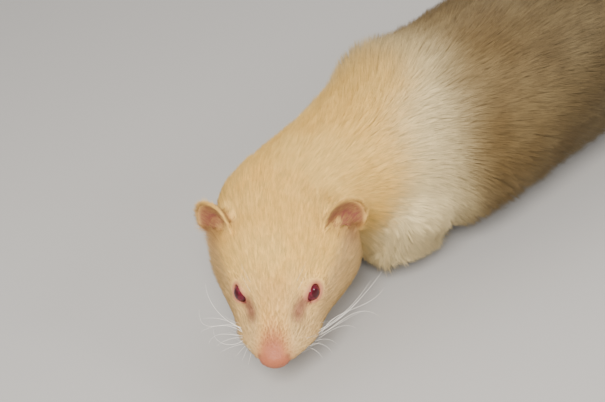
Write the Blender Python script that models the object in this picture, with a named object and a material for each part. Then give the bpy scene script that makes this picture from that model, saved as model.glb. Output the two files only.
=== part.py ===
"""A ferret, life size, creeping forward with its head low and turned to its left.

Lengths are in millimetres until a mesh is made, which is in metres. The animal faces -Y, its left is +X
and +Z is up, with the floor at z = 0. One surface runs from the muzzle to the tip of the tail and is
parted into head, neck, torso and tail. Legs, paws, claws, ears, eyes, nose and jaw are set into it, each
in a seat of its own shape with a thin gap all round.
"""

import math

import bmesh
import bpy
import numpy as np

MM = 0.001
GAP = 0.3  # clear space between pieces that touch
SIDES = {"left": 1.0, "right": -1.0}

# Pose of the head: turned to the animal's left, nose down, left ear a little lower
HEAD_TURN = math.radians(43.0)
HEAD_DROP = math.radians(25.0)
HEAD_TILT = math.radians(4.5)
HEAD_LENGTH = 68.0
HEAD_BACK = (0.0, -117.0, 50.0)  # middle of the head's rear face

# Distances from the tip of the muzzle, along the body, at which the surface is parted, and between which
# its sections turn from the head's direction to the body's
HEAD_START = 1.2
NECK_END = 84.0
TAIL_START = 395.0
TURN_START = 44.0
TURN_END = 112.0

# The head's form: distance from the tip, half width, rise, drop, and how far the top is drawn in
HEAD_FORM = (
    (0.0, 6.0, 4.6, 3.8, 0.00),
    (4.0, 9.6, 6.8, 5.4, 0.10),
    (10.0, 13.2, 9.0, 7.2, 0.18),
    (17.0, 16.6, 12.0, 9.0, 0.24),
    (24.0, 20.4, 15.0, 11.6, 0.24),
    (32.0, 24.8, 17.6, 15.2, 0.20),
    (42.0, 28.4, 20.0, 18.6, 0.12),
    (54.0, 29.6, 21.8, 20.8, 0.06),
    (68.0, 28.6, 23.2, 23.6, 0.02),
)

# The body's form: middle of the section, half width, rise, drop, and how far the top is drawn in
BODY_FORM = (
    (0.0, -103.0, 51.0, 28.6, 25.5, 28.5, 0.02),
    (0.0, -85.0, 50.0, 32.0, 30.0, 36.5, 0.03),
    (1.0, -60.0, 49.0, 38.5, 38.5, 38.6, 0.04),
    (3.0, -25.0, 51.0, 43.5, 43.0, 42.0, 0.05),
    (5.0, 20.0, 54.0, 45.5, 45.0, 44.5, 0.05),
    (6.0, 65.0, 58.0, 46.5, 46.5, 46.0, 0.06),
    (6.0, 110.0, 58.0, 46.5, 46.5, 45.0, 0.07),
    (5.0, 150.0, 55.0, 43.5, 42.5, 41.0, 0.08),
    (3.0, 185.0, 51.0, 33.0, 34.0, 34.0, 0.06),
    (2.0, 212.0, 48.0, 19.5, 20.0, 21.0, 0.00),
    (3.0, 235.0, 44.0, 14.5, 14.0, 14.5, 0.00),
    (7.0, 275.0, 36.0, 13.5, 13.0, 13.5, 0.00),
    (13.0, 315.0, 27.0, 12.0, 11.5, 12.0, 0.00),
    (19.0, 345.0, 21.0, 8.5, 8.2, 8.5, 0.00),
    (22.0, 360.0, 18.5, 2.0, 2.0, 2.0, 0.00),
)

# Swellings and hollows on both sides: distance along, angle up from the side, height, and the two spreads
SWELLINGS = {
    "whisker pad": (11.0, -22.0, 2.0, 6.0, 26.0),
    "lip": (14.0, -58.0, 1.0, 8.0, 12.0),
    "hollow before the eye": (17.5, 38.0, -1.3, 4.5, 18.0),
    "brow": (26.0, 62.0, 0.9, 5.0, 16.0),
    "cheek": (43.0, -18.0, 2.0, 10.0, 28.0),
    "breast": (98.0, -62.0, 10.5, 18.0, 20.0),
    "shoulder blade": (126.0, 62.0, 4.0, 17.0, 22.0),
    "haunch": (322.0, -5.0, 4.0, 28.0, 34.0),
}

# Spacing of the rings along each length of the body, and how many sides they have
BODY_RINGS = {"head": (2.6, 36), "neck": (5.0, 32), "torso": (12.0, 32), "tail": (9.0, 18)}

# Eyes, in the head's own directions: distance behind the tip, out to the side and up
EYE_PLACE = (26.2, 12.6, 6.5)
EYE_GAZE = (-0.45, 0.72, 0.53)
EYE_RADIUS = 4.2
LID_RADIUS = 5.1
EYE_OPENING = (4.0, 3.1)  # half length and half height
EYE_SLANT = math.radians(10.0)  # the front corner is lower
OPENING_SIDES = 18
OPENING_RINGS = ((0.5, 0.8), (3.5, 0.96), (6.0, 1.12), (9.0, 1.4))  # distance from the globe's middle, width

EAR_PLACE = (53.5, 25.6, 13.0)
EAR_FACING = (-0.70, 0.60, 0.38)
EAR_REACH = (0.50, 0.22, 0.84)
EAR_SIZE = (10.2, 10.0)  # half width and half height of the cup
EAR_DEPTH = 4.4
EAR_THICKNESS = 1.1  # half of it, in the middle
EAR_ROOT = (7.5, 6.5, 6.0)
EAR_ROOT_DROP = (3.5, 4.5)  # how far the root lies below the cup's middle, and behind it
EAR_HOLLOW = (3.6, 3.0, 5.0)
EAR_HOLLOW_DROP = (3.5, 2.5)

NOSE_PLACE = (1.6, 0.0, 0.7)
NOSE_SIZE = (6.2, 4.5, 4.6)  # half width, half height, half length
NOSTRIL_PLACE = (-2.4, 2.7, 0.4)
NOSTRIL_SIZE = (1.0, 0.8, 1.6)

# The lower jaw: distance behind the tip, half width, top and bottom
JAW_FORM = (
    (5.0, 4.2, -4.2, -6.8),
    (8.0, 6.0, -4.5, -9.0),
    (14.0, 7.8, -5.2, -10.9),
    (20.0, 9.4, -6.0, -12.6),
    (26.0, 10.2, -7.4, -13.8),
    (30.0, 8.0, -9.2, -13.2),
)
JAW_RINGS = 12
JAW_SIDES = 20
JAW_SQUARENESS = (0.75, 0.85)  # powers that square the section's sides, and its top and bottom

# Legs: middle of the section, half width and half depth, from the root down to the wrist or heel
LEGS = {
    "foreleg_left": (
        (16.0, -66.0, 56.0, 12.0, 15.0),
        (28.5, -74.0, 39.0, 14.0, 16.0),
        (24.0, -75.0, 23.0, 11.5, 17.0),
        (18.8, -71.6, 13.0, 9.3, 15.2),
        (11.0, -55.0, 6.5, 6.5, 6.8),
    ),
    "foreleg_right": (
        (-18.0, -64.0, 56.0, 12.0, 15.0),
        (-31.0, -71.0, 38.0, 14.0, 16.0),
        (-33.0, -60.0, 24.0, 12.0, 13.5),
        (-28.0, -66.0, 14.0, 9.0, 10.0),
        (-20.0, -73.0, 6.5, 6.5, 6.5),
    ),
    "hindleg_left": (
        (20.0, 152.0, 56.0, 18.0, 24.0),
        (32.0, 140.0, 42.0, 17.0, 24.0),
        (39.0, 126.0, 26.0, 12.0, 15.5),
        (36.0, 138.0, 15.0, 8.5, 12.0),
        (32.0, 150.0, 6.5, 6.6, 8.0),
    ),
    "hindleg_right": (
        (-16.0, 158.0, 56.0, 18.0, 24.0),
        (-28.0, 152.0, 42.0, 17.0, 24.0),
        (-37.0, 144.0, 26.0, 12.0, 15.5),
        (-34.0, 160.0, 15.0, 8.5, 12.0),
        (-30.0, 174.0, 6.5, 6.6, 8.0),
    ),
}
LEG_SIDES = 14
LEG_RINGS = 11

# Paws: where the sole's rear end is, length to the toe tips, half width, height, heading out from straight
PAWS = {
    "forepaw_left": ((8.5, -46.0), 24.0, 7.6, 9.0, -4.0),
    "forepaw_right": ((-19.0, -64.0), 27.0, 8.5, 9.0, 4.0),
    "hindpaw_left": ((32.0, 159.0), 45.4, 8.5, 9.0, 3.0),
    "hindpaw_right": ((-30.0, 183.0), 46.0, 8.5, 9.0, -3.0),
}
TOES = (-0.80, -0.42, 0.0, 0.42, 0.80)  # across the paw, in half widths
TOE_RADIUS = 2.9
TOE_LENGTH = 6.5
TOE_SPREAD = 0.28  # how far the outermost toes turn away from straight ahead
TOE_SETBACK = 5.0  # the outer toes lie further back than the middle one
INNER_SETBACK = 2.0  # and the innermost one further still
SOLE_FLAT = 0.9  # how far the middle of the rounded sole is sunk before it is cut level with the floor
SOLE_SWELL = 0.4  # how much taller the sole is than the paw's height, above and below

CLAW_LENGTH = {"fore": 9.0, "hind": 7.5}
CLAW_ROOT = 1.25
CLAW_TIP = 0.22
CLAW_TAPER = 0.7
CLAW_NARROWNESS = 0.72  # width over height
CLAW_PITCH = (math.radians(16.0), math.radians(-36.0))  # up from level, at the root and at the tip
CLAW_PLACE = (0.62, 0.9)  # in front of the toe's middle, in toe lengths, and above it
CLAW_RINGS = 4
CLAW_SIDES = 6

# Colour and roughness of each sort of surface
FINISHES = {
    "coat": ((0.80, 0.68, 0.48), 0.85),
    "skin": ((0.80, 0.50, 0.42), 0.55),
    "eye": ((0.32, 0.02, 0.05), 0.08),
    "claw": ((0.82, 0.68, 0.58), 0.35),
}


def spline(knots, values, at):
    """Natural cubic curve through values at knots, read at the places in at."""
    knots, values, at = (np.asarray(a, float) for a in (knots, values, at))
    values = values.reshape(len(knots), -1)
    step = np.diff(knots)
    count = len(knots)
    system = np.eye(count)
    right = np.zeros_like(values)
    slope = np.diff(values, axis=0) / step[:, None]
    for i in range(1, count - 1):
        system[i, i - 1 : i + 2] = step[i - 1], 2 * (step[i - 1] + step[i]), step[i]
        right[i] = 6 * (slope[i] - slope[i - 1])
    bend = np.linalg.solve(system, right)
    cell = np.clip(np.searchsorted(knots, at) - 1, 0, count - 2)
    before = (at - knots[cell])[:, None]
    after = (knots[cell + 1] - at)[:, None]
    width = step[cell][:, None]
    ends = bend[cell] * after**3 / (6 * width) + bend[cell + 1] * before**3 / (6 * width)
    first = (values[cell] / width - bend[cell] * width / 6) * after
    return ends + first + (values[cell + 1] / width - bend[cell + 1] * width / 6) * before


def unit(vectors):
    vectors = np.asarray(vectors, float)
    return vectors / np.linalg.norm(vectors, axis=-1, keepdims=True)


HEAD_AXIS = np.array(
    (
        math.sin(HEAD_TURN) * math.cos(HEAD_DROP),
        -math.cos(HEAD_TURN) * math.cos(HEAD_DROP),
        -math.sin(HEAD_DROP),
    )
)
MUZZLE_TIP = np.array(HEAD_BACK) + HEAD_AXIS * HEAD_LENGTH


def body_table():
    """Distance along the body and the form there, for every station from the muzzle to the tail's tip."""
    rows = [(*(MUZZLE_TIP - HEAD_AXIS * row[0]), *row[1:]) for row in HEAD_FORM]
    rows = np.array([*rows, *BODY_FORM])
    steps = np.linalg.norm(np.diff(rows[:, :3], axis=0), axis=1)
    return np.concatenate([[0.0], np.cumsum(steps)]), rows


ALONG, STATIONS = body_table()
BODY_LENGTH = ALONG[-1]


def frames(along):
    """Middle, side and up vectors of the sections at these distances."""
    behind = np.maximum(along, TURN_END)
    tangent = spline(ALONG, STATIONS[:, :3], behind + 0.5) - spline(ALONG, STATIONS[:, :3], behind - 0.5)
    turned = np.clip((along - TURN_START) / (TURN_END - TURN_START), 0.0, 1.0)[:, None]
    turned = turned**2 * (3.0 - 2.0 * turned)
    back = unit(-HEAD_AXIS * (1.0 - turned) + unit(tangent) * turned)
    side = unit(np.cross(back, (0.0, 0.0, 1.0)))
    up = np.cross(side, back)
    tilt = HEAD_TILT * (1.0 - turned)
    middle = spline(ALONG, STATIONS[:, :3], along)
    return middle, side * np.cos(tilt) - up * np.sin(tilt), up * np.cos(tilt) + side * np.sin(tilt)


def surface(along, angle):
    """Points of the body's surface at distances along it and angles up from the left side, all in arrays."""
    along, angle = np.broadcast_arrays(np.asarray(along, float), np.asarray(angle, float))
    flat, turn = along.ravel(), angle.ravel()
    middle, side, up = frames(flat)
    width, rise, drop, drawn = spline(ALONG, STATIONS[:, 3:], flat).T
    across, upward = np.cos(turn), np.sin(turn)
    swell = np.zeros(len(flat))
    for place, tall, height, spread_along, spread_round in SWELLINGS.values():
        for bearing in (tall, 180.0 - tall):
            off = (np.degrees(turn) - bearing + 180.0) % 360.0 - 180.0
            swell += height * np.exp(-(((flat - place) / spread_along) ** 2) - (off / spread_round) ** 2)
    lateral = (width * (1 - drawn * upward) + swell) * across
    vertical = (np.where(upward > 0, rise, drop) + swell) * upward
    points = middle + side * lateral[:, None] + up * vertical[:, None]
    return points.reshape(*along.shape, 3)


_, LEVEL_SIDE, LEVEL_UP = (row[0] for row in frames(np.array([EYE_PLACE[0]])))
HEAD_FRAME = np.array((-HEAD_AXIS, LEVEL_SIDE, LEVEL_UP))  # rows: backwards, to its left, up


def in_head(place, side=1.0):
    """A place given as distance behind the muzzle's tip, out to one side, and up."""
    return MUZZLE_TIP + (np.asarray(place) * (1.0, side, 1.0)) @ HEAD_FRAME


def head_way(way, side=1.0):
    """A direction given in the head's own directions, of length 1."""
    return unit((np.asarray(way) * (1.0, side, 1.0)) @ HEAD_FRAME)


def square_to(first, second):
    """Three directions at right angles: across, the second made square to the first, and the first."""
    first = unit(first)
    second = unit(second - first * np.dot(first, second))
    return np.array((np.cross(second, first), second, first))


def make(name, points, faces):
    """A mesh object in metres from points in millimetres, with its faces pointing out."""
    mesh = bpy.data.meshes.new(name)
    mesh.from_pydata([tuple(p) for p in np.asarray(points) * MM], [], faces)
    work = bmesh.new()
    work.from_mesh(mesh)
    bmesh.ops.recalc_face_normals(work, faces=work.faces)
    work.to_mesh(mesh)
    work.free()
    obj = bpy.data.objects.new(name, mesh)
    bpy.context.scene.collection.objects.link(obj)
    return obj


def tube(name, rings):
    """A closed tube through rings of points, with a flat face at each end."""
    count, sides = rings.shape[:2]
    faces = []
    for i in range(count - 1):
        for j in range(sides):
            k = (j + 1) % sides
            faces.append((i * sides + j, i * sides + k, (i + 1) * sides + k, (i + 1) * sides + j))
    faces.append(tuple(range(sides)))
    faces.append(tuple((count - 1) * sides + j for j in reversed(range(sides))))
    return make(name, rings.reshape(-1, 3), faces)


def ball(name, place, sides=16, rings=10):
    """A unit ball, its poles on the third axis, carried to its form by the function place."""
    work = bmesh.new()
    bmesh.ops.create_uvsphere(work, u_segments=sides, v_segments=rings, radius=1.0)
    points = place(np.array([vert.co for vert in work.verts])) * MM
    for vert, point in zip(work.verts, points):
        vert.co = point
    work.normal_update()
    bmesh.ops.recalc_face_normals(work, faces=work.faces)
    mesh = bpy.data.meshes.new(name)
    work.to_mesh(mesh)
    work.free()
    obj = bpy.data.objects.new(name, mesh)
    bpy.context.scene.collection.objects.link(obj)
    return obj


def seat(obj):
    """Make a piece larger all round by the gap, so that it cuts its own seat in its neighbour."""
    work = bmesh.new()
    work.from_mesh(obj.data)
    work.normal_update()
    moves = [vert.normal * (vert.calc_shell_factor() * GAP * MM) for vert in work.verts]
    for vert, move in zip(work.verts, moves):
        vert.co += move
    work.to_mesh(obj.data)
    work.free()
    return obj


def egg(centre, axes, radii):
    """The function that carries a unit ball to an ellipsoid."""
    return lambda points: centre + (points * radii) @ axes


def carve(target, tools, operation="DIFFERENCE"):
    """Cut all the closed pieces in tools from the target, or fuse them to it, and remove them."""
    group = bpy.data.collections.new("tools")
    for tool in tools:
        group.objects.link(tool)
    modifier = target.modifiers.new("carve", "BOOLEAN")
    modifier.operation = operation
    modifier.operand_type = "COLLECTION"
    modifier.collection = group
    modifier.solver = "EXACT"
    graph = bpy.context.evaluated_depsgraph_get()
    target.data = bpy.data.meshes.new_from_object(target.evaluated_get(graph))
    target.modifiers.clear()
    for tool in list(group.objects):
        bpy.data.objects.remove(tool)
    bpy.data.collections.remove(group)
    keep_largest(target)
    return target


def keep_largest(obj):
    """Drop every closed surface of a piece but the one with the most faces."""
    work = bmesh.new()
    work.from_mesh(obj.data)
    seen = set()
    shells = []
    for start in work.faces:
        if start in seen:
            continue
        shell = {start}
        edge_of_search = [start]
        while edge_of_search:
            for edge in edge_of_search.pop().edges:
                fresh = [face for face in edge.link_faces if face not in shell]
                shell.update(fresh)
                edge_of_search.extend(fresh)
        seen |= shell
        shells.append(shell)
    kept = max(shells, key=len)
    bmesh.ops.delete(work, geom=[face for face in work.faces if face not in kept], context="FACES")
    work.to_mesh(obj.data)
    work.free()


def finish(obj, name, sort):
    """Give a piece its name, its own material and smooth shading, and leave only triangles."""
    colour, roughness = FINISHES[sort]
    obj.name = name
    material = bpy.data.materials.new(f"{name} {sort}")
    material.use_nodes = True
    shader = material.node_tree.nodes["Principled BSDF"]
    shader.inputs["Base Color"].default_value = (*colour, 1.0)
    shader.inputs["Roughness"].default_value = roughness
    obj.data.materials.clear()
    obj.data.materials.append(material)
    work = bmesh.new()
    work.from_mesh(obj.data)
    bmesh.ops.triangulate(work, faces=work.faces)
    work.to_mesh(obj.data)
    work.free()
    obj.data.shade_smooth()
    obj.data.set_sharp_from_angle(angle=math.radians(40.0))
    return obj


def length_of_body(name, start, end):
    """The part of the body's surface between two distances, as one closed piece."""
    spacing, sides = BODY_RINGS[name]
    count = max(3, round((end - start) / spacing) + 1)
    along = np.linspace(start, end, count)
    angle = np.arange(sides) * 2 * math.pi / sides
    return tube(name, surface(along[:, None], angle[None, :]))


def limb(name):
    """A leg as a tube of level sections, from its root in the body down to the wrist or heel."""
    joints = np.array(LEGS[name])
    at = np.linspace(joints[0, 2], joints[-1, 2], LEG_RINGS)
    form = spline(-joints[:, 2], joints, -at)
    turn = np.arange(LEG_SIDES) * 2 * math.pi / LEG_SIDES
    rings = np.repeat(form[:, None, :3], LEG_SIDES, axis=1)
    rings[:, :, 0] += form[:, 3:4] * np.cos(turn)
    rings[:, :, 1] += form[:, 4:5] * np.sin(turn)
    return tube(name, rings)


def paw_frame(name):
    """Where a paw's sole starts, and its directions forward, to its outer side and up."""
    (x, y), _, _, _, heading = PAWS[name]
    turn = math.radians(heading) * (1.0 if x > 0 else -1.0)
    forward = np.array((math.sin(turn), -math.cos(turn), 0.0))
    outward = np.array((math.cos(turn), math.sin(turn), 0.0)) * (1.0 if x > 0 else -1.0)
    return np.array((x, y, 0.0)), forward, outward


def toe_places(name):
    """The middle of each toe and the way that it points, from the inner toe to the outer one."""
    start, forward, outward = paw_frame(name)
    _, length, half, _, _ = PAWS[name]
    places = []
    for across in TOES:
        reach = length - TOE_LENGTH - TOE_SETBACK * across**2
        reach -= INNER_SETBACK if across == TOES[0] else 0.0
        middle = start + forward * reach + outward * across * (half - TOE_RADIUS * 0.6)
        middle[2] = TOE_RADIUS - SOLE_FLAT * 0.5
        places.append((middle, unit(forward + outward * across * TOE_SPREAD)))
    return places


def claw(name, index):
    """A curved, tapering claw whose root is sunk in its toe."""
    middle, forward = toe_places(name)[index]
    length = CLAW_LENGTH[name[:4]]
    at = np.linspace(0.0, 1.0, CLAW_RINGS)
    pitch = CLAW_PITCH[0] + (CLAW_PITCH[1] - CLAW_PITCH[0]) * at
    step = length / (CLAW_RINGS - 1)
    along = np.cumsum(np.cos(pitch)) * step
    height = np.cumsum(np.sin(pitch)) * step
    root = middle + forward * (TOE_LENGTH * CLAW_PLACE[0]) + (0.0, 0.0, CLAW_PLACE[1])
    spine = root + forward * (along - along[0])[:, None]
    spine[:, 2] += height - height[0]
    side = np.cross(forward, (0.0, 0.0, 1.0))
    rise = np.cos(pitch)[:, None] * (0.0, 0.0, 1.0) - np.sin(pitch)[:, None] * forward
    radius = CLAW_ROOT * (1.0 - at) ** CLAW_TAPER + CLAW_TIP
    turn = np.arange(CLAW_SIDES) * 2 * math.pi / CLAW_SIDES
    across = radius[:, None, None] * CLAW_NARROWNESS * np.cos(turn)[None, :, None] * side
    upward = radius[:, None, None] * np.sin(turn)[None, :, None] * rise[:, None, :]
    return tube(f"claw_{name}_{index + 1}", spine[:, None, :] + across + upward)


def paw(name):
    """A paw: sole and five toes, before its underside is cut flat and its leg and claws are seated."""
    start, forward, outward = paw_frame(name)
    _, length, half, height, _ = PAWS[name]
    axes = np.array((outward, forward, (0.0, 0.0, 1.0)))
    half_length = (length - TOE_LENGTH) * 0.5 + 0.5
    middle = start + forward * half_length + (0.0, 0.0, height * 0.5 - SOLE_FLAT)
    sole = ball(name, egg(middle, axes, (half, half_length, height * 0.5 + SOLE_SWELL)), 16, 8)
    toes = []
    for place, way in toe_places(name):
        toe_axes = np.array((np.cross(way, (0.0, 0.0, 1.0)), (0.0, 0.0, 1.0), way))
        toes.append(ball("toe", egg(place, toe_axes, (TOE_RADIUS, TOE_RADIUS, TOE_LENGTH)), 8, 6))
    return carve(sole, toes, "UNION")


def rest_on_floor(obj):
    """Cut away what lies under the floor and close the cut with a flat face."""
    work = bmesh.new()
    work.from_mesh(obj.data)
    whole = work.verts[:] + work.edges[:] + work.faces[:]
    cut = bmesh.ops.bisect_plane(work, geom=whole, plane_no=(0.0, 0.0, 1.0), clear_inner=True)
    rim = [part for part in cut["geom_cut"] if isinstance(part, bmesh.types.BMEdge)]
    bmesh.ops.edgenet_fill(work, edges=rim)
    bmesh.ops.recalc_face_normals(work, faces=work.faces)
    work.to_mesh(obj.data)
    work.free()


def eye_axes(side):
    """Across the eye from front to back, up the eye, and out along its gaze."""
    gaze = head_way(EYE_GAZE, side)
    across, upward, gaze = square_to(gaze, LEVEL_UP)
    across = across * (1.0 if np.dot(across, -HEAD_AXIS) > 0 else -1.0)
    slanted = across * math.cos(EYE_SLANT) + upward * math.sin(EYE_SLANT)
    return np.array((slanted, upward * math.cos(EYE_SLANT) - across * math.sin(EYE_SLANT), gaze))


def eye_globe(side, radius):
    return ball("eye", egg(in_head(EYE_PLACE, side), eye_axes(side), (radius,) * 3), 16, 10)


def eye_opening(side):
    """The almond between the lids, pointed at its front corner, as a piece that cuts through them."""
    half_length, half_height = EYE_OPENING
    axes = eye_axes(side)
    turn = np.arange(OPENING_SIDES) * 2 * math.pi / OPENING_SIDES
    pointed = np.sin(turn) * (0.62 + 0.38 * (0.5 + 0.5 * np.cos(turn)) ** 0.5)
    outline = np.stack([half_length * np.cos(turn), half_height * pointed], -1)
    rings = []
    for depth, scale in OPENING_RINGS:
        rings.append(in_head(EYE_PLACE, side) + (outline * scale) @ axes[:2] + axes[2] * depth)
    return tube("opening", np.array(rings))


def ear_axes(side):
    return square_to(head_way(EAR_FACING, side), head_way(EAR_REACH, side))


def ear_shell(side):
    """The cup of an ear: a thin lens bent into a dish."""
    axes = ear_axes(side)
    centre = in_head(EAR_PLACE, side)
    radii = np.array((*EAR_SIZE, EAR_THICKNESS))

    def place(points):
        dish = EAR_DEPTH * ((points[:, 0] ** 2 + points[:, 1] ** 2) - 0.6)
        return centre + (points * radii) @ axes + dish[:, None] * axes[2]

    return ball("ear", place, 18, 9)


def ear_root(side):
    """The rounded root that carries the cup."""
    axes = ear_axes(side)
    centre = in_head(EAR_PLACE, side) - EAR_ROOT_DROP @ axes[1:]
    return ball("root", egg(centre, axes, EAR_ROOT), 12, 8)


def ear_hollow(side):
    """The way into the ear, at the bottom of the cup."""
    axes = ear_axes(side)
    centre = in_head(EAR_PLACE, side) - EAR_HOLLOW_DROP @ axes[1:]
    return ball("hollow", egg(centre, axes, EAR_HOLLOW), 12, 8)


def nose_form():
    """The bare nose: a rounded block, narrower on top."""
    axes = np.array((LEVEL_SIDE, LEVEL_UP, HEAD_AXIS))

    def place(points):
        narrowed = 1.0 - 0.10 * np.clip(points[:, 1:2], 0, 1) * (1.0, 0.0, 0.0)
        return in_head(NOSE_PLACE) + (points * narrowed * NOSE_SIZE) @ axes

    return ball("nose", place, 18, 12)


def nostril(side):
    axes = np.array((head_way((0.0, 1.0, 0.35), side), head_way((0.0, -0.35, 1.0), side), HEAD_AXIS))
    return ball("nostril", egg(in_head(NOSTRIL_PLACE, side), axes, NOSTRIL_SIZE), 9, 7)


def jaw_form():
    """The lower jaw and chin, whose top is hidden between the upper lips."""
    table = np.array(JAW_FORM)
    at = np.linspace(table[0, 0], table[-1, 0], JAW_RINGS)
    half, top, bottom = spline(table[:, 0], table[:, 1:], at).T
    turn = np.arange(JAW_SIDES) * 2 * math.pi / JAW_SIDES
    round_x = np.sign(np.cos(turn)) * np.abs(np.cos(turn)) ** JAW_SQUARENESS[0]
    round_z = np.sign(np.sin(turn)) * np.abs(np.sin(turn)) ** JAW_SQUARENESS[1]
    rings = []
    for i, place in enumerate(at):
        middle = 0.5 * (top[i] + bottom[i])
        rise = 0.5 * (top[i] - bottom[i])
        flat = np.stack([np.full(len(turn), place), half[i] * round_x, middle + rise * round_z], -1)
        rings.append(in_head(flat))
    return tube("jaw", np.array(rings))


def make_head():
    """Head with lids round each eye, seats for eyes, ears and nose, and the line of the mouth."""
    head = length_of_body("head", HEAD_START, HEAD_LENGTH)
    carve(head, [eye_globe(side, LID_RADIUS) for side in SIDES.values()], "UNION")
    cutters = [seat(nose_form()), seat(jaw_form())]
    for side in SIDES.values():
        cutters += [seat(eye_globe(side, EYE_RADIUS)), eye_opening(side)]
        cutters += [seat(ear_shell(side)), seat(ear_root(side))]
    carve(head, cutters)
    return finish(head, "head", "coat")


def make_face():
    """The pieces that sit in the head."""
    nose = nose_form()
    carve(nose, [nostril(side) for side in SIDES.values()])
    finish(nose, "nose", "skin")
    finish(jaw_form(), "jaw", "coat")
    for word, side in SIDES.items():
        finish(eye_globe(side, EYE_RADIUS), f"eye_{word}", "eye")
        ear = ear_shell(side)
        carve(ear, [ear_root(side)], "UNION")
        carve(ear, [ear_hollow(side)])
        finish(ear, f"ear_{word}", "skin")


def make_body():
    """Neck, torso and tail, with a seat for each leg."""
    finish(length_of_body("neck", HEAD_LENGTH + GAP, NECK_END), "neck", "coat")
    torso = length_of_body("torso", NECK_END + GAP, TAIL_START)
    carve(torso, [seat(limb(name)) for name in LEGS])
    finish(torso, "torso", "coat")
    finish(length_of_body("tail", TAIL_START + GAP, BODY_LENGTH), "tail", "coat")


def make_legs():
    """Legs, paws that are flat where they rest, and the claws of each paw."""
    for leg, foot in zip(LEGS, PAWS):
        finish(limb(leg), leg, "coat")
        base = paw(foot)
        rest_on_floor(base)
        carve(base, [seat(limb(leg))] + [seat(claw(foot, i)) for i in range(len(TOES))])
        finish(base, foot, "coat")
        for i in range(len(TOES)):
            finish(claw(foot, i), f"claw_{foot}_{i + 1}", "claw")


def centre_on_floor():
    """Carry the whole animal so that the middle of its box stands over the origin."""
    pieces = list(bpy.data.objects)
    ground = bpy.data.objects.new("ferret", None)
    bpy.context.scene.collection.objects.link(ground)
    corners = np.array([vert.co for piece in pieces for vert in piece.data.vertices])
    middle = (corners.min(0) + corners.max(0)) / 2
    for piece in pieces:
        piece.parent = ground
    ground.location = (-middle[0], -middle[1], -corners[:, 2].min())


def main():
    for old in list(bpy.data.objects):
        bpy.data.objects.remove(old)
    make_head()
    make_face()
    make_body()
    make_legs()
    centre_on_floor()


main()
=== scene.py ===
"""A life-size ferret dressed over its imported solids: one skin, fur in tufts, eyes, whiskers and claws.

Lengths are in millimetres until a mesh is made, which is in metres. The animal faces -Y, its left is +X and
the floor is at z = 0.
"""

import math

import bmesh
import bpy
import numpy as np
from mathutils import Matrix, Vector
from mathutils.bvhtree import BVHTree
from mathutils.kdtree import KDTree


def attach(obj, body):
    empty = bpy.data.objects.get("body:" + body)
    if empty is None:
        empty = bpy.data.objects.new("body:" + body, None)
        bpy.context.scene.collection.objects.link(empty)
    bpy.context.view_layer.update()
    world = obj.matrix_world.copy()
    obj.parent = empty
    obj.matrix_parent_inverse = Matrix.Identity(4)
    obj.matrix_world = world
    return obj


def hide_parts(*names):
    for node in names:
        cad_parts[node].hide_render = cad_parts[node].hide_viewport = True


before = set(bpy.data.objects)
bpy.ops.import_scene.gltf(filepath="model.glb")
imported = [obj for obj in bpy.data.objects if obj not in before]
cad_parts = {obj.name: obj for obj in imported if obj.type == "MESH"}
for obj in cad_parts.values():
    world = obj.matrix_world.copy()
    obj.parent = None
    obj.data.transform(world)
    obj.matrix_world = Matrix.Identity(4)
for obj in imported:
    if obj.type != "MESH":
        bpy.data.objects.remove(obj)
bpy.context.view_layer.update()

MM = 0.001
SIDES = {"left": 1.0, "right": -1.0}
PAWS = ("forepaw_left", "forepaw_right", "hindpaw_left", "hindpaw_right")
random = np.random.default_rng(41)

# The head's place and directions, and the eyes and ears in them: backwards, out to the side, up
HEAD_TURN = math.radians(43.0)
HEAD_DROP = math.radians(25.0)
HEAD_TILT = math.radians(4.5)
HEAD_LENGTH = 68.0
HEAD_BACK = np.array((-2.83, -213.97, 50.0))
EYE_PLACE = (26.2, 12.6, 6.5)
EYE_GAZE = (-0.45, 0.72, 0.53)
EYE_OPENING = (4.0, 3.1)
EYE_CORNER = {"left": 0.35, "right": 1.25}  # how far the skin at the front corner of each eye is let in
EYE_SLANT = math.radians(10.0)
EAR_PLACE = (53.5, 25.6, 13.0)
EAR_FACING = (-0.70, 0.60, 0.38)
EAR_REACH = (0.50, 0.22, 0.84)
EAR_SIZE = (10.2, 10.0)
# A line below each eye along which painted shade marks the tear groove
TEAR_GROOVE = ((21.2, 10.9, 7.8), (15.0, 8.8, 6.8))
# Where a dark spot paints the shade of each nostril
NOSE_WING = (1.2, 5.4, 2.6)

# Middle line of the body behind the head
WITHERS_TUFT = (-16.0, -150.0, 90.0)
NAPE_DIP = (-15.0, -127.0, 91.0)
ARMPIT = (34.0, -154.0, 36.0)
SPINE = (
    (-2.8, -182.0, 50.0),
    (-1.8, -157.0, 49.0),
    (0.2, -122.0, 51.0),
    (2.2, -77.0, 54.0),
    (3.2, -32.0, 58.0),
    (3.2, 13.0, 58.0),
    (2.2, 53.0, 55.0),
    (0.2, 88.0, 51.0),
    (-0.8, 115.0, 48.0),
    (0.2, 138.0, 44.0),
    (4.2, 178.0, 36.0),
    (10.2, 218.0, 27.0),
    (16.2, 248.0, 21.0),
    (19.2, 263.0, 18.5),
)


# Small tools


def unit(vectors):
    vectors = np.asarray(vectors, float)
    return vectors / np.maximum(np.linalg.norm(vectors, axis=-1, keepdims=True), 1e-9)


def square_on(vectors, normals):
    """The part of each vector that lies in the surface, of length 1."""
    return unit(vectors - normals * np.sum(vectors * normals, axis=-1, keepdims=True))


def ease(values, low, high):
    """0 below low, 1 above high and a smooth step between."""
    at = np.clip((np.asarray(values, float) - low) / (high - low), 0.0, 1.0)
    return at * at * (3.0 - 2.0 * at)


def table(values, *rows):
    """Values read from rows of (place, value)."""
    places, heights = zip(*rows)
    return np.interp(values, places, heights)


def new_object(name, mesh):
    piece = bpy.data.objects.new(name, mesh)
    bpy.context.scene.collection.objects.link(piece)
    return piece


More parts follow.
